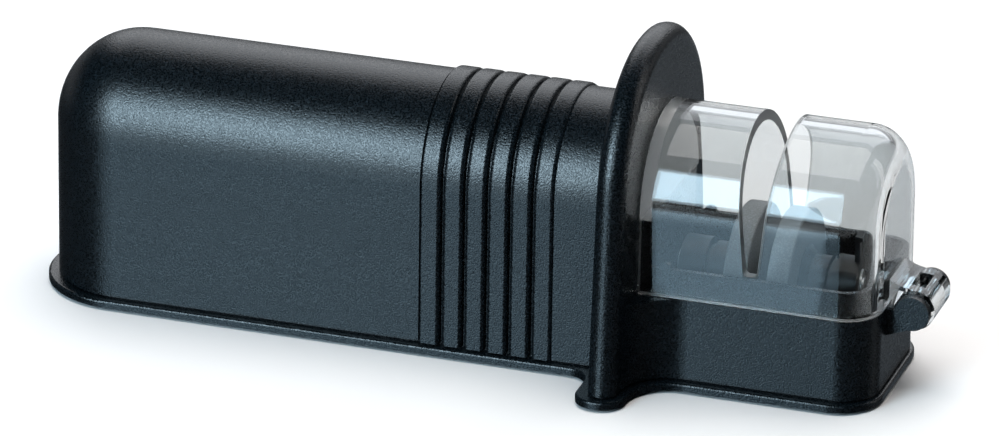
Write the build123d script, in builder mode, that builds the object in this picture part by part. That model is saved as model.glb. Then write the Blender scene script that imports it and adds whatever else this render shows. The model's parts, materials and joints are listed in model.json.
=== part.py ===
"""Manual roller knife sharpener: a loaf-shaped handle, a tall finger guard and a tub with two
grinding wheels under a hinged clear cover. Millimetres, +Z up, +X from the handle to the hinge,
origin at the middle of the footprint on the surface that the feet stand on."""

import math
import os

from build123d import *

# Lengths along X, from the handle's end to the hinge
flange_margin = 1.55
rear_margin = 2.1
front_margin = 0.75
lobe_margin = 2.55
shell_length = 79.7
band_length = 38.15
guard_thickness = 5.8
tub_length = 46.7
hinge_reach = 5.0
barrel_radius = 4.0

# The arched section that the handle, the grip band, the tub and the cover share
base_half_width = 17.75
arch_radius = 17.25
arch_rise = 33.64
body_wall = 2.4
shell_end_radius = 16.3
tub_end_radius = 7.3

# Sole plate and what stands under it
foot_proud = 0.6
foot_thickness = 1.4
foot_radius = 5.0
foot_edge = 0.3
foot_rear_inset = 18.0
foot_front_inset = 17.0
foot_half_spread = 10.5
flange_thickness = 1.5
flange_edge = 0.5
shadow_gap = 0.4
shadow_depth = 1.0
sole_inner_fillet = 4.6
sole_outer_fillet = 8.6

# Screws, seen from below, and the posts that they bite into
screw_radius = 1.25
screw_length = 9.0
screw_head_radius = 2.6
screw_head_height = 1.1
screw_drive_radius = 1.2
screw_drive_depth = 0.7
screw_head_edge = 0.3
screw_clearance = 0.25
pilot_clearance = 0.05
post_radius = 3.4
tub_post_radius = 2.6
tub_post_height = 9.5
shell_post_insets = (22.0, 62.0)
band_post_inset = 19.0
tub_post_x_inset = 5.6
tub_post_y = 10.6

# Grip band
band_proud = 0.68
plain_proud = 0.1
seam_gap = 0.4
ring_count = 6
ring_pitch = 4.565
first_ring_width = 4.87
ring_groove = 0.5
ring_groove_depth = 1.3
ring_soft_edge = 0.75
ring_lead_edge = 0.8
seam_edge = 0.4
spigot_length = 4.0
spigot_wall = 1.6
spigot_clearance = 0.12

# Finger guard
guard_foot_half_width = 31.5
guard_half_width = 28.0
guard_height = 65.1
guard_shoulder_radius = 27.4
guard_crown_radius = 60.0
guard_round = 2.8
guard_foot_round = 4.6

# Tub
step_height = 18.1
lip_height = 5.2
lip_thickness = 1.1
lip_clearance = 0.3
tub_floor = 1.6
tub_left_wall = 2.0
catch_radius = 1.2
catch_inset = 5.2
ear_radius = 3.4
ear_thickness = 2.0
ear_gap = 0.2
barrel_half_length = 5.7
arm_root = 0.6
arm_drop = 2.2
arm_top_gap = 0.6
arm_recess = 0.8

# Cover
cover_wall = 2.0
cover_gap = 0.15
cover_end_gap = 0.3
end_wall_height = 32.9
slot_inset = 22.4
slot_floor_height = 24.8
slot_bottom_width = 2.6
slot_left_lean = 2.6
slot_right_lean = 2.5
slot_bottom_round = 1.1
lug_rise = 5.6
window_length = 6.4
window_width = 2.8
hinge_height = 17.5

# Hinge pin
pin_radius = 1.6
pin_clearance = 0.08
pin_seat_clearance = 0.02
pin_seat_depth = 1.2
pin_end_gap = 0.1

# Grinding wheels and what carries them
axle_height = 18.65
axle_radius = 2.0
axle_tip = 0.6
axle_edge = 0.3
wheel_radius = 13.5
wheel_rim_width = 4.4
wheel_spacing = 8.6
wheel_meeting_gap = 0.2
wheel_groove_radius = 5.8
wheel_edge = 0.25
wheel_well_clearance = 0.3
hub_sleeve_radius = 4.0
hub_sleeve_clearance = 0.03
hub_bore_clearance = 0.02
hub_radius = 6.9
hub_neck_radius = 5.2
hub_length = 4.9
hub_flare_length = 1.6
bush_radius = 3.2
bush_flange_radius = 4.4
bush_flange = 0.8
bush_clearance = 0.03
bush_seat_clearance = 0.02
bush_end_gap = 0.2
block_radius = 5.8
block_length = 5.2
block_half_width = 4.6
block_floor_key = 0.8
block_key_clearance = 0.1
tab_thickness = 1.2
tab_width = 3.0
tab_height = 4.6
tab_hook = 0.7
clip_thickness = 0.6
clip_radius = 3.5
clip_mouth = 2.2
clip_gap = 0.2
clip_groove_depth = 0.4
clip_bore_clearance = 0.02

# One overrun serves every cut that runs out of its piece, one reach finds a sketch's corners
overrun = 2.0
corner_reach = 0.1

# Places worked out from the sizes above
overall_length = (rear_margin + shell_length + band_length + guard_thickness
                  + tub_length + hinge_reach + barrel_radius)
x_flange = -overall_length / 2
x_shell = x_flange + rear_margin
x_seam = x_shell + shell_length
x_guard = x_seam + band_length
x_tub = x_guard + guard_thickness
x_end = x_tub + tub_length
x_hinge = x_end + hinge_reach
x_wheels = x_tub + slot_inset
z_sole = foot_proud
z_flange = z_sole + flange_thickness
z_wall = z_flange + shadow_gap
z_arch = z_sole + arch_rise
z_crown = z_arch + arch_radius
z_step = z_sole + step_height
z_lip = z_step + lip_height
z_floor = z_wall + tub_floor
z_hinge = z_sole + hinge_height
z_axle = z_sole + axle_height
z_end_wall = z_sole + end_wall_height
z_slot = z_sole + slot_floor_height
z_guard = z_sole + guard_height


def tangent_lean(across, up, radius):
    """Lean from upright of the line that runs up from a foot and touches a circle.

    The circle's middle lies that far across and up from the foot."""
    return math.acos(radius / math.hypot(across, up)) - math.atan2(up, across)


# The side walls lean in until they meet the arch as tangents
wall_lean = tangent_lean(base_half_width, arch_rise, arch_radius)
tub_flare_radius = sole_outer_fillet + flange_margin
lip_half_width = arch_radius - cover_wall - lip_clearance
tub_half_width = lip_half_width - lip_thickness
x_lip_end = x_end - cover_wall - lip_clearance
ear_inner = barrel_half_length + ear_gap

# Places along the axle, counted out from the middle of the wheels
wheel_inner = wheel_meeting_gap / 2
rim_inner = (wheel_spacing - wheel_rim_width) / 2
rim_outer = rim_inner + wheel_rim_width
hub_outer = rim_outer + hub_length
bush_inner = hub_outer + bush_end_gap
block_inner = bush_inner + bush_flange
block_outer = block_inner + block_length
clip_inner = block_outer + clip_gap
clip_outer = clip_inner + clip_thickness
axle_end = clip_outer + axle_tip


def wall_at(z, inset=0.0):
    """Half width of the arched section at a height, moved in by an inset."""
    return base_half_width - (z - z_sole) * math.tan(wall_lean) - inset / math.cos(wall_lean)


def arch_section(x, z_low, inset=0.0):
    """The arched section on a plane across X, from a low edge up, moved in by an inset."""
    radius = arch_radius - inset
    spring_y = radius * math.cos(wall_lean)
    spring_z = z_arch + radius * math.sin(wall_lean)
    low_y = wall_at(z_low, inset)
    with BuildSketch(Plane.YZ.offset(x)) as section:
        with BuildLine():
            Line((-low_y, z_low), (low_y, z_low))
            Line((low_y, z_low), (spring_y, spring_z))
            ThreePointArc((spring_y, spring_z), (0, z_arch + radius), (-spring_y, spring_z))
            Line((-spring_y, spring_z), (-low_y, z_low))
        make_face()
    return section.sketch


def section_edges(part, x):
    """The edges round the arched outline of a piece's end face, without the flat bottom one."""
    end_faces = part.faces().filter_by(Axis.X).group_by(Axis.X)[0 if x < 0 else -1]
    end_face = end_faces.sort_by(SortBy.AREA)[-1]
    return end_face.edges().sort_by(Axis.Z)[1:]


def ring_part(x_start, x_stop, lead_edge):
    """One raised ring of the grip band, with a soft edge towards the guard and a smaller one behind."""
    with BuildPart() as ring:
        extrude(arch_section(x_start, z_wall, -band_proud), amount=x_stop - x_start)
        fillet(section_edges(ring.part, 1), radius=ring_soft_edge)
        fillet(section_edges(ring.part, -1), radius=lead_edge)
    return ring.part


def screw_places():
    """Where the sole's screws go, in plan."""
    places = []
    for inset in shell_post_insets:
        places.append((x_shell + inset, 0))
    places.append((x_seam + band_post_inset, 0))
    for x in (x_tub + tub_post_x_inset, x_end - tub_post_x_inset):
        for side in (-1, 1):
            places.append((x, side * tub_post_y))
    return places


def foot_places():
    """Where the four rubber feet go, by name."""
    places = {}
    for end, x in (("rear", x_flange + foot_rear_inset), ("front", x_end - foot_front_inset)):
        for side_name, side in (("near", -1), ("far", 1)):
            places[f"foot_{end}_{side_name}"] = (x, side * foot_half_spread)
    return places


axle_axis = Axis((0, 0, z_axle), (1, 0, 0))


def turned(points):
    """A turned piece: a profile of places along X from the wheels' middle and radii, revolved."""
    with BuildPart() as piece:
        with BuildSketch(Plane.XZ):
            with BuildLine():
                Polyline(*[(x_wheels + x, z_axle + radius) for x, radius in points], close=True)
            make_face()
        revolve(axis=axle_axis)
    return piece.part


def wheel_well():
    """The room that the wheels turn in, which the tub and the cover leave free."""
    reach = rim_outer + wheel_well_clearance
    radius = wheel_radius + wheel_well_clearance
    return turned([(-reach, 0), (-reach, radius), (reach, radius), (reach, 0)])


os.makedirs("parts", exist_ok=True)

# Handle shell: an extruded arch with a rounded end, hollowed, with two screw posts
with BuildPart() as shell_hollow:
    extrude(arch_section(x_shell + body_wall, z_wall - overrun, body_wall),
            amount=shell_length - body_wall + overrun)
    fillet(section_edges(shell_hollow.part, -1), radius=shell_end_radius - body_wall)

with BuildPart() as handle_shell:
    extrude(arch_section(x_shell, z_wall), amount=shell_length)
    fillet(section_edges(handle_shell.part, -1), radius=shell_end_radius)
    add(shell_hollow.part, mode=Mode.SUBTRACT)
    with BuildSketch(Plane.XY.offset(z_wall)):
        with Locations(*[(x_shell + inset, 0) for inset in shell_post_insets]):
            Circle(post_radius)
    extrude(amount=z_crown - body_wall / 2 - z_wall)
    with BuildSketch(Plane.XY.offset(z_wall)):
        with Locations(*[(x_shell + inset, 0) for inset in shell_post_insets]):
            Circle(screw_radius + pilot_clearance)
    extrude(amount=screw_length, mode=Mode.SUBTRACT)
handle_shell.part.label = "handle_shell"
export_step(handle_shell.part, "parts/handle_shell.step")

# Grip band: a plain core with six soft-edged rings, then a plain strip, a spigot into the shell and
# a screw post. The first ring leaves a shadow gap at the seam.
ring_starts = [x_seam + seam_gap]
for index in range(ring_count):
    ring_starts.append(x_seam + first_ring_width + index * ring_pitch)
x_plain = ring_starts[-1] - ring_groove
with BuildPart() as grip_band:
    extrude(arch_section(x_seam, z_wall, ring_groove_depth - band_proud), amount=band_length)
    for ring_start, next_start in zip(ring_starts, ring_starts[1:]):
        lead_edge = seam_edge if ring_start == ring_starts[0] else ring_lead_edge
        add(ring_part(ring_start, next_start - ring_groove, lead_edge))
    extrude(arch_section(x_plain, z_wall, -plain_proud), amount=x_guard - x_plain)
    extrude(arch_section(x_seam + spigot_length, z_wall - overrun, body_wall),
            amount=band_length - spigot_length + overrun, mode=Mode.SUBTRACT)
    extrude(arch_section(x_seam - spigot_length, z_wall, body_wall + spigot_clearance),
            amount=spigot_length)
    extrude(arch_section(x_seam - spigot_length - overrun, z_wall - overrun,
                         body_wall + spigot_clearance + spigot_wall),
            amount=2 * spigot_length + 2 * overrun, mode=Mode.SUBTRACT)
    with BuildSketch(Plane.XY.offset(z_wall)):
        with Locations((x_seam + band_post_inset, 0)):
            Circle(post_radius)
    extrude(amount=z_crown - body_wall / 2 - z_wall)
    with BuildSketch(Plane.XY.offset(z_wall)):
        with Locations((x_seam + band_post_inset, 0)):
            Circle(screw_radius + pilot_clearance)
    extrude(amount=screw_length, mode=Mode.SUBTRACT)
grip_band.part.label = "grip_band"
export_step(grip_band.part, "parts/grip_band.step")

# The guard's outline: leaning sides, a shoulder arc each side and a flatter crown arc, all tangent
shoulder_y = guard_half_width - guard_shoulder_radius
centre_gap = guard_crown_radius - guard_shoulder_radius
shoulder_z = z_guard - guard_crown_radius + math.sqrt(centre_gap ** 2 - shoulder_y ** 2)
guard_lean = tangent_lean(guard_foot_half_width - shoulder_y, shoulder_z - z_wall, guard_shoulder_radius)
side_top = (shoulder_y + guard_shoulder_radius * math.cos(guard_lean),
            shoulder_z + guard_shoulder_radius * math.sin(guard_lean))
crown_turn = math.asin(shoulder_y / centre_gap)
crown_edge = (guard_crown_radius * math.sin(crown_turn),
              z_guard - guard_crown_radius + guard_crown_radius * math.cos(crown_turn))

# Finger guard: a round-rimmed plate that stands on the sole, with a spigot into the grip band
with BuildPart() as finger_guard:
    with BuildSketch(Plane.YZ.offset(x_guard)):
        with BuildLine():
            Line((-guard_foot_half_width, z_wall), (guard_foot_half_width, z_wall))
            for side in (-1, 1):
                Line((side * guard_foot_half_width, z_wall), (side * side_top[0], side_top[1]))
                RadiusArc((side * side_top[0], side_top[1]), (side * crown_edge[0], crown_edge[1]),
                          -side * guard_shoulder_radius)
            ThreePointArc((-crown_edge[0], crown_edge[1]), (0, z_guard), crown_edge)
        make_face()
    extrude(amount=guard_thickness)
    rim_edges = finger_guard.edges().filter_by(Axis.X, reverse=True).sort_by(Axis.Z)[2:]
    fillet(rim_edges, radius=min(guard_round, guard_thickness / 2 - corner_reach))
    extrude(arch_section(x_guard - spigot_length, z_wall, body_wall + spigot_clearance),
            amount=spigot_length)
    extrude(arch_section(x_guard - spigot_length - overrun, z_wall - overrun,
                         body_wall + spigot_clearance + spigot_wall),
            amount=spigot_length + overrun, mode=Mode.SUBTRACT)
finger_guard.part.label = "finger_guard"
export_step(finger_guard.part, "parts/finger_guard.step")

# Sole plate: a thin flange that follows the body, with a lobe under each side of the guard, and a
# raised plateau that carries the walls and leaves the shadow line
shell_flange_radius = shell_end_radius + flange_margin
tub_flange_radius = tub_end_radius + flange_margin


def near_corners(outline, x, y):
    """The two corners of a sketch that lie at a place in plan and at its mirror image across X."""
    return outline.vertices().filter_by(
        lambda corner: math.hypot(corner.X - x, abs(corner.Y) - y) < corner_reach)


def sole_outline(inset):
    """The sole's outline in plan, moved in by an inset."""
    side = base_half_width + flange_margin - inset
    rear_radius = shell_flange_radius - inset
    front_radius = tub_flange_radius - inset
    x_rear = x_flange + inset * rear_margin / flange_margin
    x_front = x_end + front_margin - inset * front_margin / flange_margin
    lobe_left = x_guard - lobe_margin + inset * lobe_margin / flange_margin
    lobe_right = x_tub + flange_margin - inset
    lobe_half_width = guard_foot_half_width + flange_margin - inset
    with BuildSketch() as outline:
        with BuildLine():
            Polyline((x_rear, -side), (x_front, -side), (x_front, side), (x_rear, side), close=True)
        make_face()
        fillet(outline.vertices().group_by(Axis.X)[0], radius=rear_radius)
        fillet(outline.vertices().group_by(Axis.X)[-1].sort_by(Axis.Y), radius=front_radius)
        with Locations(((lobe_left + lobe_right) / 2, 0)):
            RectangleRounded(lobe_right - lobe_left, 2 * lobe_half_width,
                             min(guard_foot_round, (lobe_right - lobe_left) / 2 - corner_reach))
        fillet(near_corners(outline, lobe_left, side), radius=sole_inner_fillet + inset)
        fillet(near_corners(outline, lobe_right, side), radius=sole_outer_fillet + inset)
    return outline.sketch


with BuildPart() as sole_plate:
    extrude(Plane.XY.offset(z_sole) * sole_outline(0.0), amount=flange_thickness)
    fillet(sole_plate.edges().group_by(Axis.Z)[-1], radius=flange_edge)
    extrude(Plane.XY.offset(z_flange) * sole_outline(flange_margin + shadow_depth), amount=shadow_gap)
    with BuildSketch(Plane.XY.offset(z_sole)):
        with Locations(*foot_places().values()):
            Circle(foot_radius)
    extrude(amount=foot_thickness - foot_proud, mode=Mode.SUBTRACT)
    with BuildSketch(Plane.XY.offset(z_sole)):
        with Locations(*screw_places()):
            Circle(screw_head_radius + screw_clearance)
    extrude(amount=screw_head_height, mode=Mode.SUBTRACT)
    with BuildSketch(Plane.XY.offset(z_sole)):
        with Locations(*screw_places()):
            Circle(screw_radius + screw_clearance)
    extrude(amount=flange_thickness + overrun, mode=Mode.SUBTRACT)
sole_plate.part.label = "sole_plate"
export_step(sole_plate.part, "parts/sole_plate.step")

# Seven self-tapping screws, heads down in the sole, one node
with BuildPart() as sole_screws:
    with BuildSketch(Plane.XY.offset(z_sole)):
        with Locations(*screw_places()):
            Circle(screw_head_radius)
    extrude(amount=screw_head_height)
    fillet(sole_screws.edges().group_by(Axis.Z)[0], radius=screw_head_edge)
    with BuildSketch(Plane.XY.offset(z_sole + screw_head_height)):
        with Locations(*screw_places()):
            Circle(screw_radius)
    extrude(amount=screw_length - screw_head_height)
    with BuildSketch(Plane.XY.offset(z_sole)):
        with Locations(*screw_places()):
            RegularPolygon(screw_drive_radius, 6)
    extrude(amount=screw_drive_depth, mode=Mode.SUBTRACT)
sole_screws.part.label = "sole_screws"
export_step(sole_screws.part, "parts/sole_screws.step")

# Four round rubber feet, each pressed into a recess of the sole
for foot_name, (foot_x, foot_y) in foot_places().items():
    with BuildPart() as foot:
        with BuildSketch():
            with Locations((foot_x, foot_y)):
                Circle(foot_radius)
        extrude(amount=foot_thickness)
        fillet(foot.edges().group_by(Axis.Z)[0], radius=foot_edge)
    foot.part.label = foot_name
    export_step(foot.part, f"parts/{foot_name}.step")

# Tub: the arched section's foot, hollowed, with a lip inside the cover's edge, a taller wall at the
# guard, posts for the screws, pockets for the bearing blocks and two ears for the hinge pin
with BuildPart() as wheel_tub:
    with BuildSketch(Plane.YZ.offset(x_tub)):
        with BuildLine():
            Polyline((-wall_at(z_wall), z_wall), (wall_at(z_wall), z_wall), (wall_at(z_step), z_step),
                     (-wall_at(z_step), z_step), close=True)
        make_face()
    extrude(amount=tub_length)
    end_edges = wheel_tub.faces().sort_by(Axis.X)[-1].edges().sort_by(Axis.Z)
    fillet(end_edges[1:3], radius=tub_end_radius)
    flare_height = z_step - z_wall
    for side in (-1, 1):
        near = side * (wall_at(z_step) - overrun)
        edge = side * wall_at(z_wall)
        outer = side * (wall_at(z_wall) + tub_flare_radius)
        with BuildSketch(Plane.XY.offset(z_wall)):
            with BuildLine():
                Polyline((x_tub + tub_flare_radius, edge), (x_tub + tub_flare_radius, near),
                         (x_tub, near), (x_tub, outer))
                RadiusArc((x_tub, outer), (x_tub + tub_flare_radius, edge), -side * tub_flare_radius)
            make_face()
        extrude(amount=flare_height / math.cos(wall_lean),
                dir=(0, -side * math.sin(wall_lean), math.cos(wall_lean)))
    with BuildSketch(Plane.XY.offset(z_step)) as lip_outline:
        with BuildLine():
            Polyline((x_tub, -lip_half_width), (x_lip_end, -lip_half_width), (x_lip_end, lip_half_width),
                     (x_tub, lip_half_width), close=True)
        make_face()
        fillet(lip_outline.vertices().group_by(Axis.X)[-1],
               radius=tub_end_radius - cover_wall - lip_clearance)
    extrude(amount=lip_height)
    with BuildSketch(Plane.XY.offset(z_floor)) as pit_outline:
        x_pit = x_tub + tub_left_wall
        x_pit_end = x_lip_end - lip_thickness
        with BuildLine():
            Polyline((x_pit, -tub_half_width), (x_pit_end, -tub_half_width),
                     (x_pit_end, tub_half_width), (x_pit, tub_half_width), close=True)
        make_face()
        fillet(pit_outline.vertices().group_by(Axis.X)[-1],
               radius=tub_end_radius - cover_wall - lip_clearance - lip_thickness)
    extrude(amount=z_lip - z_floor + overrun, mode=Mode.SUBTRACT)
    with BuildSketch(Plane.XY.offset(z_lip)):
        with Locations((x_tub + tub_left_wall / 2, 0)):
            Rectangle(tub_left_wall, 2 * lip_half_width)
    extrude(amount=z_end_wall - cover_end_gap - z_lip)
    tub_posts = [place for place in screw_places() if place[0] > x_tub]
    with BuildSketch(Plane.XY.offset(z_wall)):
        with Locations(*tub_posts):
            Circle(tub_post_radius)
    extrude(amount=tub_post_height)
    with BuildSketch(Plane.XY.offset(z_wall)):
        with Locations(*tub_posts):
            Circle(screw_radius + pilot_clearance)
    extrude(amount=screw_length - flange_thickness, mode=Mode.SUBTRACT)
    with BuildSketch(Plane.XY.offset(z_floor)):
        for side in (-1, 1):
            with Locations((x_wheels + side * (block_inner + block_outer) / 2, 0)):
                Rectangle(block_length + 2 * block_key_clearance,
                          2 * (block_half_width + block_key_clearance))
    extrude(amount=-block_floor_key, mode=Mode.SUBTRACT)
    for side in (-1, 1):
        with BuildSketch(Plane.XZ.offset(side * (lip_half_width - lip_thickness / 2))):
            with Locations((x_tub + catch_inset, z_lip)):
                Circle(catch_radius)
        extrude(amount=lip_thickness / 2, both=True)
    for ear_start, arm_start in ((ear_inner, ear_inner),
                                 (-ear_inner - ear_thickness, -ear_inner - ear_thickness + arm_recess)):
        with BuildSketch(Plane.XZ.offset(ear_start)):
            with Locations((x_hinge, z_hinge)):
                Circle(ear_radius)
        extrude(amount=ear_thickness)
        with BuildSketch(Plane.XZ.offset(arm_start)):
            with BuildLine():
                Polyline((x_end - arm_root, z_step - arm_top_gap), (x_hinge, z_hinge),
                         (x_hinge, z_hinge - ear_radius),
                         (x_end - arm_root, z_hinge - ear_radius - arm_drop), close=True)
            make_face()
        extrude(amount=ear_thickness - arm_recess)
    with BuildSketch(Plane.XZ):
        with Locations((x_hinge, z_hinge)):
            Circle(pin_radius + pin_seat_clearance)
    extrude(amount=ear_inner + pin_seat_depth, both=True, mode=Mode.SUBTRACT)
    add(wheel_well(), mode=Mode.SUBTRACT)
wheel_tub.part.label = "wheel_tub"
export_step(wheel_tub.part, "parts/wheel_tub.step")

# Clear cover: the arched section hollowed, closed at the hinge end and over the guard's wall, cut
# by the knife slot, with a windowed barrel that turns on the hinge pin
x_cover = x_tub + cover_end_gap
z_cover = z_step + cover_gap
with BuildPart() as cover_hollow:
    extrude(arch_section(x_cover - overrun, z_cover - overrun, cover_wall),
            amount=x_end - cover_wall - x_cover + overrun)
    fillet(section_edges(cover_hollow.part, 1), radius=tub_end_radius - cover_wall)

with BuildPart() as clear_cover:
    extrude(arch_section(x_cover, z_cover), amount=x_end - x_cover)
    fillet(section_edges(clear_cover.part, 1), radius=tub_end_radius)
    add(cover_hollow.part, mode=Mode.SUBTRACT)
    extrude(arch_section(x_cover, z_end_wall, cover_wall / 2), amount=cover_wall)
    with BuildSketch(Plane.XZ) as slot_outline:
        slot_left = x_wheels - slot_bottom_width / 2
        slot_right = x_wheels + slot_bottom_width / 2
        with BuildLine():
            Polyline((slot_left, z_slot), (slot_right, z_slot), (slot_right + slot_right_lean, z_crown),
                     (slot_right + slot_right_lean, z_crown + overrun),
                     (slot_left - slot_left_lean, z_crown + overrun),
                     (slot_left - slot_left_lean, z_crown), close=True)
        make_face()
        fillet(slot_outline.vertices().group_by(Axis.Y)[0], radius=slot_bottom_round)
    extrude(amount=base_half_width + overrun, both=True, mode=Mode.SUBTRACT)
    with BuildSketch(Plane.XZ):
        with Locations((x_hinge, z_hinge)):
            Circle(barrel_radius)
        with BuildLine():
            Polyline((x_hinge, z_hinge + barrel_radius), (x_hinge, z_hinge),
                     (x_end - cover_wall / 2, z_cover), (x_end - cover_wall / 2, z_hinge + lug_rise),
                     (x_end, z_hinge + lug_rise))
            RadiusArc((x_end, z_hinge + lug_rise), (x_hinge, z_hinge + barrel_radius),
                      -hinge_reach - lug_rise)
        make_face()
    extrude(amount=barrel_half_length, both=True)
    with BuildSketch(Plane.XZ):
        with Locations((x_hinge, z_hinge)):
            Circle(pin_radius + pin_clearance)
    extrude(amount=barrel_half_length + overrun, both=True, mode=Mode.SUBTRACT)
    with BuildSketch(Plane.XY.offset(z_hinge)):
        with Locations((x_hinge, 0)):
            Rectangle(window_width, window_length)
    extrude(amount=barrel_radius + overrun, mode=Mode.SUBTRACT)
    add(wheel_well(), mode=Mode.SUBTRACT)
clear_cover.part.label = "clear_cover"
export_step(clear_cover.part, "parts/clear_cover.step")

# Hinge pin, blind in both ears
with BuildPart() as hinge_pin:
    with BuildSketch(Plane.XZ):
        with Locations((x_hinge, z_hinge)):
            Circle(pin_radius)
    extrude(amount=ear_inner + pin_seat_depth - pin_end_gap, both=True)
hinge_pin.part.label = "hinge_pin"
export_step(hinge_pin.part, "parts/hinge_pin.step")

# Axle, with a groove for each retaining clip
groove_radius = axle_radius - clip_groove_depth
axle_half = [(0, axle_radius), (clip_inner, axle_radius), (clip_inner, groove_radius),
             (clip_outer, groove_radius), (clip_outer, axle_radius), (axle_end - axle_edge, axle_radius),
             (axle_end, axle_radius - axle_edge)]
with BuildPart() as axle:
    add(turned([(-axle_end, 0)] + [(-x, radius) for x, radius in reversed(axle_half)]
               + axle_half[1:] + [(axle_end, 0)]))
axle.part.label = "axle"
export_step(axle.part, "parts/axle.step")

# The pieces that come in pairs along the axle, left towards the guard and right towards the hinge
for side_name, side in (("left", -1), ("right", 1)):
    sleeve_bore = hub_sleeve_radius + hub_sleeve_clearance
    with BuildPart() as wheel:
        add(turned([(side * wheel_inner, sleeve_bore), (side * wheel_inner, wheel_groove_radius),
                    (side * rim_inner, wheel_radius - wheel_edge),
                    (side * (rim_inner + wheel_edge), wheel_radius),
                    (side * (rim_outer - wheel_edge), wheel_radius),
                    (side * rim_outer, wheel_radius - wheel_edge), (side * rim_outer, sleeve_bore)]))
    wheel.part.label = f"{side_name}_wheel"
    export_step(wheel.part, f"parts/{side_name}_wheel.step")

    hub_bore = axle_radius + hub_bore_clearance
    with BuildPart() as hub:
        add(turned([(side * wheel_inner, hub_bore), (side * wheel_inner, hub_sleeve_radius),
                    (side * rim_outer, hub_sleeve_radius), (side * rim_outer, hub_radius),
                    (side * (rim_outer + hub_flare_length), hub_neck_radius),
                    (side * hub_outer, hub_neck_radius), (side * hub_outer, hub_bore)]))
    hub.part.label = f"{side_name}_hub"
    export_step(hub.part, f"parts/{side_name}_hub.step")

    bush_bore = axle_radius + bush_clearance
    with BuildPart() as bush:
        add(turned([(side * bush_inner, bush_bore), (side * bush_inner, bush_flange_radius),
                    (side * block_inner, bush_flange_radius), (side * block_inner, bush_radius),
                    (side * block_outer, bush_radius), (side * block_outer, bush_bore)]))
    bush.part.label = f"{side_name}_bush"
    export_step(bush.part, f"parts/{side_name}_bush.step")

    block_near = min(side * block_inner, side * block_outer)
    with BuildPart() as block:
        with BuildSketch(Plane.YZ.offset(x_wheels + block_near)):
            with Locations((0, z_axle)):
                Circle(block_radius)
            with BuildLine():
                Polyline((-block_half_width, z_floor - block_floor_key),
                         (block_half_width, z_floor - block_floor_key),
                         (block_half_width, z_axle), (-block_half_width, z_axle), close=True)
            make_face()
        extrude(amount=block_length)
        if side > 0:
            tab_root = z_axle + bush_radius + bush_seat_clearance
            tab_top = z_axle + block_radius + tab_height
            tab_x = x_wheels + block_outer - tab_thickness
            with BuildSketch(Plane.XZ):
                with BuildLine():
                    Polyline((tab_x, tab_root), (tab_x + tab_thickness, tab_root),
                             (tab_x + tab_thickness, tab_top - tab_thickness),
                             (tab_x + tab_thickness + tab_hook, tab_top - tab_thickness / 2),
                             (tab_x + tab_thickness + tab_hook, tab_top), (tab_x, tab_top), close=True)
                make_face()
            extrude(amount=tab_width / 2, both=True)
        with BuildSketch(Plane.YZ.offset(x_wheels + block_near)):
            with Locations((0, z_axle)):
                Circle(bush_radius + bush_seat_clearance)
        extrude(amount=block_length, mode=Mode.SUBTRACT)
    block.part.label = f"{side_name}_bearing_block"
    export_step(block.part, f"parts/{side_name}_bearing_block.step")

    clip_near = min(side * clip_inner, side * clip_outer)
    with BuildPart() as clip:
        with BuildSketch(Plane.YZ.offset(x_wheels + clip_near)):
            with Locations((0, z_axle)):
                Circle(clip_radius)
                Circle(groove_radius + clip_bore_clearance, mode=Mode.SUBTRACT)
            with Locations((0, z_axle - clip_radius)):
                Rectangle(clip_mouth, 2 * clip_radius, mode=Mode.SUBTRACT)
        extrude(amount=clip_thickness)
    clip.part.label = f"{side_name}_axle_clip"
    export_step(clip.part, f"parts/{side_name}_axle_clip.step")
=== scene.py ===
"""Looks for the roller knife sharpener: finishes for its pieces, a pale floor, soft light and the camera."""

import json
import math

import bpy
from mathutils import Matrix, Vector

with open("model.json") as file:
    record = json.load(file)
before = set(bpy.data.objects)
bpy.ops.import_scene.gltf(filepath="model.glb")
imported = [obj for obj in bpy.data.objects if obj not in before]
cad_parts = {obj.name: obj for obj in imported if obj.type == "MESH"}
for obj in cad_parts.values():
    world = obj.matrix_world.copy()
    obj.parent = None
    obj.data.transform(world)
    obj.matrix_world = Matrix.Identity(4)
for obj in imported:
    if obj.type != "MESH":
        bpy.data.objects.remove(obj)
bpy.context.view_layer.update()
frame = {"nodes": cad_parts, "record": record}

MM = 0.001


# Small tools

def linear(hex_colour):
    """An sRGB hex colour as the linear RGBA that the shaders take."""
    channels = [int(hex_colour[i:i + 2], 16) / 255 for i in (1, 3, 5)]
    return [c / 12.92 if c <= 0.04045 else ((c + 0.055) / 1.055) ** 2.4 for c in channels] + [1.0]


def add_node(tree, kind, settings=None, values=None, links=None):
    """Adds a node: its settings, the constant values of its sockets, and links from other nodes' outputs."""
    node = tree.nodes.new(kind)
    for name, value in (settings or {}).items():
        setattr(node, name, value)
    for socket, value in (values or {}).items():
        node.inputs[socket].default_value = value
    for socket, output in (links or {}).items():
        tree.links.new(output, node.inputs[socket])
    return node


def new_material(name):
    """An empty node material, with its output and the pieces' own coordinates."""
    material = bpy.data.materials.new(name)
    material.use_nodes = True
    tree = material.node_tree
    tree.nodes.clear()
    output = add_node(tree, "ShaderNodeOutputMaterial")
    place = add_node(tree, "ShaderNodeTexCoord").outputs["Object"]
    return material, tree, output, place


def grain_scale(size_mm):
    """The texture scale at which a pattern's features are about this many millimetres across."""
    return 1 / (size_mm * MM)


def ramp(tree, source, stops):
    """A colour ramp over a texture, from (position, hex colour) stops."""
    node = add_node(tree, "ShaderNodeValToRGB", links={"Fac": source})
    elements = node.color_ramp.elements
    while len(elements) < len(stops):
        elements.new(0.5)
    for element, (position, colour) in zip(elements, stops):
        element.position = position
        element.color = linear(colour)
    return node.outputs["Color"]


def span(tree, source, low, high):
    """A texture's 0 to 1 as a span of plain numbers."""
    return add_node(tree, "ShaderNodeMapRange", values={"To Min": low, "To Max": high},
                    links={"Value": source}).outputs["Result"]


# Materials

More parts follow.
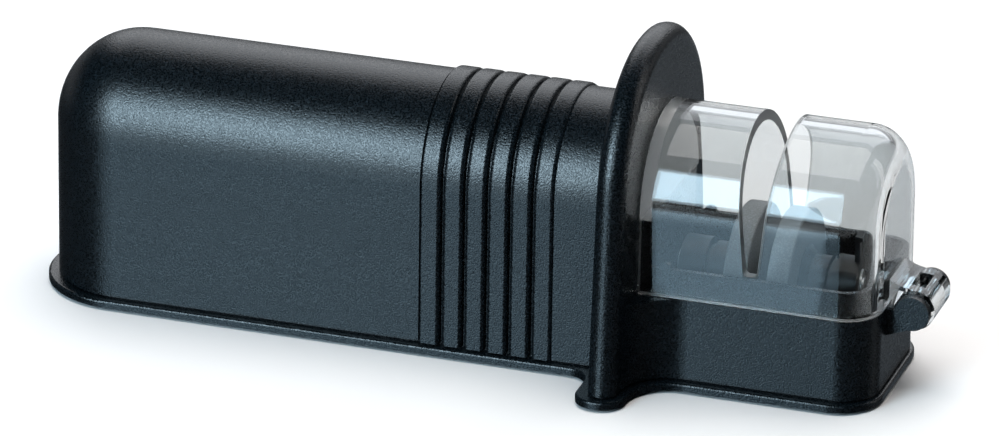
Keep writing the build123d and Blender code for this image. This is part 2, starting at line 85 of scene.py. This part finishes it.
def spark_eroded_abs():
    """Blue-black ABS from a spark-eroded mould: satin, with a sand-like grain whose facets glint."""
    material, tree, output, place = new_material("spark_eroded_abs")
    # The real grain is about 0.1 mm. It is drawn coarser, so that it shows.
    grain = add_node(tree, "ShaderNodeTexNoise", values={"Scale": grain_scale(0.3), "Detail": 1.0,
                                                         "Roughness": 0.5}, links={"Vector": place})
    colour = ramp(tree, grain.outputs["Fac"], [(0.35, "#03070a"), (0.55, "#070d11"), (0.7, "#152028")])
    relief = add_node(tree, "ShaderNodeBump", values={"Strength": 1.0, "Distance": 0.07 * MM},
                      links={"Height": grain.outputs["Fac"]})
    gloss = add_node(tree, "ShaderNodeMapRange",
                     values={"From Min": 0.3, "From Max": 0.7, "To Min": 0.19, "To Max": 0.40},
                     links={"Value": grain.outputs["Fac"]})
    shader = add_node(tree, "ShaderNodeBsdfPrincipled", values={"IOR": 1.5, "Specular IOR Level": 0.8},
                      links={"Base Color": colour, "Normal": relief.outputs["Normal"],
                             "Roughness": gloss.outputs["Result"]})
    tree.links.new(shader.outputs["BSDF"], output.inputs["Surface"])
    return material


# The knife slot in the cover, in metres: its middle, floor, half width there, and lean outwards per metre up
SLOT_X = 0.057425
SLOT_FLOOR = 0.0254
SLOT_HALF_WIDTH = 0.00145
SLOT_LEAN = 0.0977

# The cover, in metres: the end face at the guard lies left of the first, and the foot face lies under the
# second and left of the third, where the hinge lug starts
COVER_END = 0.03535
COVER_FOOT = 0.0189
COVER_TIP = 0.0817

FROST_ROUGHNESS = 0.42


def clear_styrene():
    """Clear styrene from a polished mould: glass-like, a little grey and faintly wavy, frosted where cut."""
    material, tree, output, place = new_material("clear_styrene")
    waves = add_node(tree, "ShaderNodeTexNoise", values={"Scale": grain_scale(9), "Detail": 1.0},
                     links={"Vector": place})
    relief = add_node(tree, "ShaderNodeBump", values={"Strength": 0.05, "Distance": 0.2 * MM},
                      links={"Height": waves.outputs["Fac"]})
    # The slot was milled, and its sides are left frosted. So are the end face at the guard and the foot face.
    spot = add_node(tree, "ShaderNodeSeparateXYZ", links={"Vector": place})
    aside = add_node(tree, "ShaderNodeMath", settings={"operation": "SUBTRACT"}, values={1: SLOT_X},
                     links={0: spot.outputs["X"]})
    away = add_node(tree, "ShaderNodeMath", settings={"operation": "ABSOLUTE"},
                    links={0: aside.outputs["Value"]})
    spread = add_node(tree, "ShaderNodeMath", settings={"operation": "MULTIPLY_ADD"},
                      values={1: SLOT_LEAN, 2: SLOT_HALF_WIDTH - SLOT_LEAN * SLOT_FLOOR},
                      links={0: spot.outputs["Z"]})
    between = add_node(tree, "ShaderNodeMath", settings={"operation": "LESS_THAN"},
                       links={0: away.outputs["Value"], 1: spread.outputs["Value"]})
    above = add_node(tree, "ShaderNodeMath", settings={"operation": "GREATER_THAN"},
                     values={1: SLOT_FLOOR - 0.1 * MM}, links={0: spot.outputs["Z"]})
    slot_side = add_node(tree, "ShaderNodeMath", settings={"operation": "MULTIPLY"},
                         links={0: between.outputs["Value"], 1: above.outputs["Value"]})
    end_face = add_node(tree, "ShaderNodeMath", settings={"operation": "LESS_THAN"}, values={1: COVER_END},
                        links={0: spot.outputs["X"]})
    low = add_node(tree, "ShaderNodeMath", settings={"operation": "LESS_THAN"}, values={1: COVER_FOOT},
                   links={0: spot.outputs["Z"]})
    inner = add_node(tree, "ShaderNodeMath", settings={"operation": "LESS_THAN"}, values={1: COVER_TIP},
                     links={0: spot.outputs["X"]})
    foot_face = add_node(tree, "ShaderNodeMath", settings={"operation": "MULTIPLY"},
                         links={0: low.outputs["Value"], 1: inner.outputs["Value"]})
    ends = add_node(tree, "ShaderNodeMath", settings={"operation": "MAXIMUM"},
                    links={0: foot_face.outputs["Value"], 1: end_face.outputs["Value"]})
    frosted = add_node(tree, "ShaderNodeMath", settings={"operation": "MAXIMUM"},
                       links={0: slot_side.outputs["Value"], 1: ends.outputs["Value"]})
    shader = add_node(tree, "ShaderNodeBsdfPrincipled",
                      values={"IOR": 1.57, "Transmission Weight": 1.0, "Base Color": linear("#d8dcdd")},
                      links={"Normal": relief.outputs["Normal"],
                             "Roughness": span(tree, frosted.outputs["Value"], 0.0, FROST_ROUGHNESS)})
    tree.links.new(shader.outputs["BSDF"], output.inputs["Surface"])
    return material


def sintered_ceramic():
    """Fine-grit sintered ceramic: mid blue-grey and dull, with specks where grains stand out."""
    material, tree, output, place = new_material("sintered_ceramic")
    # The real grit is under 0.05 mm. It is drawn coarser, so that it shows.
    grit = add_node(tree, "ShaderNodeTexNoise", values={"Scale": grain_scale(0.3), "Detail": 4.0,
                                                        "Roughness": 0.7}, links={"Vector": place})
    colour = ramp(tree, grit.outputs["Fac"], [(0.3, "#646a6c"), (0.55, "#7b8184"), (0.75, "#979ea1")])
    relief = add_node(tree, "ShaderNodeBump", values={"Strength": 0.35, "Distance": 0.04 * MM},
                      links={"Height": grit.outputs["Fac"]})
    shader = add_node(tree, "ShaderNodeBsdfPrincipled", values={"IOR": 1.6},
                      links={"Base Color": colour, "Normal": relief.outputs["Normal"],
                             "Roughness": span(tree, grit.outputs["Fac"], 0.5, 0.75)})
    tree.links.new(shader.outputs["BSDF"], output.inputs["Surface"])
    return material


def moulded_nylon():
    """Dark grey nylon from a smooth mould: a soft gloss, and faint swirls of lighter filler."""
    material, tree, output, place = new_material("moulded_nylon")
    swirl = add_node(tree, "ShaderNodeTexNoise", values={"Scale": grain_scale(3), "Detail": 3.0,
                                                         "Distortion": 0.8}, links={"Vector": place})
    colour = ramp(tree, swirl.outputs["Fac"], [(0.3, "#0c1012"), (0.7, "#14191c")])
    relief = add_node(tree, "ShaderNodeBump", values={"Strength": 0.1, "Distance": 0.05 * MM},
                      links={"Height": swirl.outputs["Fac"]})
    shader = add_node(tree, "ShaderNodeBsdfPrincipled", values={"IOR": 1.53},
                      links={"Base Color": colour, "Normal": relief.outputs["Normal"],
                             "Roughness": span(tree, swirl.outputs["Fac"], 0.36, 0.48)})
    tree.links.new(shader.outputs["BSDF"], output.inputs["Surface"])
    return material


def black_acetal():
    """Black acetal: waxy and slick, with faint clouds."""
    material, tree, output, place = new_material("black_acetal")
    cloud = add_node(tree, "ShaderNodeTexNoise", values={"Scale": grain_scale(2), "Detail": 2.0},
                     links={"Vector": place})
    colour = ramp(tree, cloud.outputs["Fac"], [(0.3, "#1a1b1c"), (0.7, "#262728")])
    shader = add_node(tree, "ShaderNodeBsdfPrincipled", values={"IOR": 1.48},
                      links={"Base Color": colour,
                             "Roughness": span(tree, cloud.outputs["Fac"], 0.3, 0.42)})
    tree.links.new(shader.outputs["BSDF"], output.inputs["Surface"])
    return material


def ground_steel():
    """Centreless-ground steel: bright, with fine rings that run round the length."""
    material, tree, output, place = new_material("ground_steel")
    # Stretched along Y and Z, the noise lies in rings round the axle. Real rings are finer.
    stretch = add_node(tree, "ShaderNodeMapping", values={"Scale": (1.0, 0.05, 0.05)},
                       links={"Vector": place})
    rings = add_node(tree, "ShaderNodeTexNoise", values={"Scale": grain_scale(0.25), "Detail": 2.0},
                     links={"Vector": stretch.outputs["Vector"]})
    colour = ramp(tree, rings.outputs["Fac"], [(0.3, "#b3b5b7"), (0.7, "#c9cbcc")])
    shader = add_node(tree, "ShaderNodeBsdfPrincipled", values={"Metallic": 1.0},
                      links={"Base Color": colour,
                             "Roughness": span(tree, rings.outputs["Fac"], 0.22, 0.36)})
    tree.links.new(shader.outputs["BSDF"], output.inputs["Surface"])
    return material


def zinc_plated_steel():
    """Zinc-plated steel: silver with a faint blue cast, clouded where the plating is thicker."""
    material, tree, output, place = new_material("zinc_plated_steel")
    cloud = add_node(tree, "ShaderNodeTexNoise", values={"Scale": grain_scale(1.2), "Detail": 3.0},
                     links={"Vector": place})
    colour = ramp(tree, cloud.outputs["Fac"], [(0.3, "#a7adb3"), (0.7, "#c2c6ca")])
    shader = add_node(tree, "ShaderNodeBsdfPrincipled", values={"Metallic": 1.0},
                      links={"Base Color": colour,
                             "Roughness": span(tree, cloud.outputs["Fac"], 0.28, 0.42)})
    tree.links.new(shader.outputs["BSDF"], output.inputs["Surface"])
    return material


def soft_rubber():
    """Soft black rubber: matt, with a dusty bloom."""
    material, tree, output, place = new_material("soft_rubber")
    bloom = add_node(tree, "ShaderNodeTexNoise", values={"Scale": grain_scale(0.6), "Detail": 4.0},
                     links={"Vector": place})
    colour = ramp(tree, bloom.outputs["Fac"], [(0.3, "#151516"), (0.7, "#222223")])
    relief = add_node(tree, "ShaderNodeBump", values={"Strength": 0.3, "Distance": 0.05 * MM},
                      links={"Height": bloom.outputs["Fac"]})
    shader = add_node(tree, "ShaderNodeBsdfPrincipled",
                      links={"Base Color": colour, "Normal": relief.outputs["Normal"],
                             "Roughness": span(tree, bloom.outputs["Fac"], 0.7, 0.9)})
    tree.links.new(shader.outputs["BSDF"], output.inputs["Surface"])
    return material


FINISHES = {
    "body_plastic": spark_eroded_abs(),
    "clear_plastic": clear_styrene(),
    "wheel_ceramic": sintered_ceramic(),
    "hub_plastic": moulded_nylon(),
    "bush_acetal": black_acetal(),
    "axle_steel": ground_steel(),
    "screw_steel": zinc_plated_steel(),
    "foot_rubber": soft_rubber(),
}
for piece in frame["record"]["subparts"]:
    for slot in frame["nodes"][piece["node"]].material_slots:
        slot.material = FINISHES[piece["material_slot"]]


# Floor

# The strip that gloss inside the clear cover shows as dark: where it fades in and out, as metres along Y
STRIP_NEAR = (-0.03, -0.06)
STRIP_FAR = (-0.20, -0.14)


def painted_board():
    """White painted board: matt, very slightly uneven. In gloss it is dark glass that mirrors the lamps."""
    material, tree, output, place = new_material("painted_board")
    tone = add_node(tree, "ShaderNodeTexNoise", values={"Scale": grain_scale(60), "Detail": 2.0},
                    links={"Vector": place})
    colour = ramp(tree, tone.outputs["Fac"], [(0.3, "#eeeff0"), (0.7, "#f2f3f3")])
    board = add_node(tree, "ShaderNodeBsdfPrincipled", values={"Roughness": 0.9},
                     links={"Base Color": colour})
    glass = add_node(tree, "ShaderNodeBsdfPrincipled",
                     values={"Base Color": linear("#262626"), "Roughness": 0.03, "IOR": 1.7,
                             "Specular Tint": linear("#b4e4ff")})
    ray = add_node(tree, "ShaderNodeLightPath")
    outside = add_node(tree, "ShaderNodeMath", settings={"operation": "SUBTRACT", "use_clamp": True},
                       links={0: ray.outputs["Is Glossy Ray"], 1: ray.outputs["Is Transmission Ray"]})
    # Gloss inside the clear cover shows it so only in a strip in front of the object.
    spot = add_node(tree, "ShaderNodeSeparateXYZ", links={"Vector": place})
    near = add_node(tree, "ShaderNodeMapRange", values={"From Min": STRIP_NEAR[0], "From Max": STRIP_NEAR[1]},
                    links={"Value": spot.outputs["Y"]})
    far = add_node(tree, "ShaderNodeMapRange", values={"From Min": STRIP_FAR[0], "From Max": STRIP_FAR[1]},
                   links={"Value": spot.outputs["Y"]})
    strip = add_node(tree, "ShaderNodeMath", settings={"operation": "MULTIPLY"},
                     links={0: near.outputs["Result"], 1: far.outputs["Result"]})
    inside = add_node(tree, "ShaderNodeMath", settings={"operation": "MULTIPLY", "use_clamp": True},
                      links={0: ray.outputs["Glossy Depth"], 1: strip.outputs["Value"]})
    mirrored = add_node(tree, "ShaderNodeMath", settings={"operation": "MAXIMUM"},
                        links={0: outside.outputs["Value"], 1: inside.outputs["Value"]})
    surface = add_node(tree, "ShaderNodeMixShader",
                       links={0: mirrored.outputs["Value"], 1: board.outputs["BSDF"],
                              2: glass.outputs["BSDF"]})
    tree.links.new(surface.outputs["Shader"], output.inputs["Surface"])
    return material


FLOOR_SIZE = 6.0
bpy.ops.mesh.primitive_plane_add(size=FLOOR_SIZE, location=(0, 0, 0))
floor = bpy.context.object
floor.name = "floor"
floor.data.materials.append(painted_board())


# Light: a softbox with a soft edge at the front left, a large panel at the back, a strip at the right, and
# a lamp overhead for the floor

def soft_light(name, place, aim, size, power, colour, mirrored=True):
    """A rectangular lamp that faces a point. One that isn't mirrored leaves no highlight."""
    lamp = bpy.data.lights.new(name, "AREA")
    lamp.shape = "RECTANGLE"
    lamp.size, lamp.size_y = size
    lamp.energy = power
    lamp.color = linear(colour)[:3]
    holder = bpy.data.objects.new(name, lamp)
    holder.location = place
    holder.rotation_euler = (Vector(aim) - Vector(place)).to_track_quat("-Z", "Y").to_euler()
    holder.visible_glossy = mirrored
    holder.visible_camera = False
    bpy.context.scene.collection.objects.link(holder)


COOL_WHITE = "#ceedff"
SOFTBOX_AIM = (-0.385, -0.016, 0.041)
soft_light("front_softbox", (-0.385, -0.887, 0.42), SOFTBOX_AIM, (0.42, 0.62), 5.0, COOL_WHITE)
soft_light("softbox_edge", (-0.385, -0.890, 0.42), SOFTBOX_AIM, (0.45, 0.74), 3.6, COOL_WHITE)
soft_light("back_panel", (-0.20, 0.93, 0.68), (-0.20, 0, 0.05), (1.40, 1.00), 6.4, "#f7faff")
soft_light("right_strip", (0.88, 0.38, 0.495), (0.08, -0.008, 0.046), (0.15, 0.80), 0.7, "#ffffff")
soft_light("floor_lamp", (0, 0.1, 1.6), (0, 0, 0), (1.6, 1.6), 33.0, "#fffaf7", mirrored=False)

# The studio is dark overhead and paler low down. Only its back is pale, and its front is dim.
WORLD_TOP = "#060708"
WORLD_RIM = "#9b9c9e"
RIM_HEIGHT = 0.22
FRONT_DIM = "#303030"
world = bpy.data.worlds.new("studio")
world.use_nodes = True
sky = world.node_tree
sky.nodes.clear()
direction = add_node(sky, "ShaderNodeSeparateXYZ",
                     links={"Vector": add_node(sky, "ShaderNodeTexCoord").outputs["Generated"]})
height = ramp(sky, direction.outputs["Z"], [(0.0, WORLD_RIM), (RIM_HEIGHT, WORLD_TOP)])
behind = add_node(sky, "ShaderNodeMapRange", values={"From Min": -1.0},
                  links={"Value": direction.outputs["Y"]})
depth = ramp(sky, behind.outputs["Result"], [(0.5, FRONT_DIM), (0.7, "#ffffff")])
shade = add_node(sky, "ShaderNodeVectorMath", settings={"operation": "MULTIPLY"}, links={0: height, 1: depth})
backdrop = add_node(sky, "ShaderNodeBackground", values={"Strength": 1.0},
                    links={"Color": shade.outputs["Vector"]})
add_node(sky, "ShaderNodeOutputWorld", links={"Surface": backdrop.outputs["Background"]})
bpy.context.scene.world = world


# Camera: the photo's angle, as fitted to its edges

AZIMUTH, ELEVATION, ROLL = (math.radians(a) for a in (18.2, 22.855, 0.607))
DISTANCE = 1.416656
TARGET = Vector((0.001702, 0, 0.022768))
SENSOR = 36.0
FOCAL_RATIO = 7.301131

back = Vector((math.sin(AZIMUTH) * math.cos(ELEVATION), -math.cos(AZIMUTH) * math.cos(ELEVATION),
               math.sin(ELEVATION)))
level = Vector((math.cos(AZIMUTH), math.sin(AZIMUTH), 0))
rise = back.cross(level)
right = level * math.cos(ROLL) + rise * math.sin(ROLL)
up = rise * math.cos(ROLL) - level * math.sin(ROLL)
lens = bpy.data.cameras.new("camera")
lens.sensor_fit = "HORIZONTAL"
lens.sensor_width = SENSOR
lens.lens = SENSOR * FOCAL_RATIO
lens.clip_start, lens.clip_end = 0.01, 20.0
camera = bpy.data.objects.new("camera", lens)
turn = Matrix((right, up, back)).transposed().to_4x4()
camera.matrix_world = Matrix.Translation(TARGET + back * DISTANCE) @ turn
bpy.context.scene.collection.objects.link(camera)
bpy.context.scene.camera = camera
bpy.context.scene.view_settings.view_transform = "Standard"

# Light runs a long way along the clear walls before it leaves them.
CLEAR_BOUNCES = 24
GLOSS_BOUNCES = 16
light_paths = bpy.context.scene.cycles
light_paths.max_bounces = CLEAR_BOUNCES
light_paths.transmission_bounces = CLEAR_BOUNCES
light_paths.glossy_bounces = GLOSS_BOUNCES
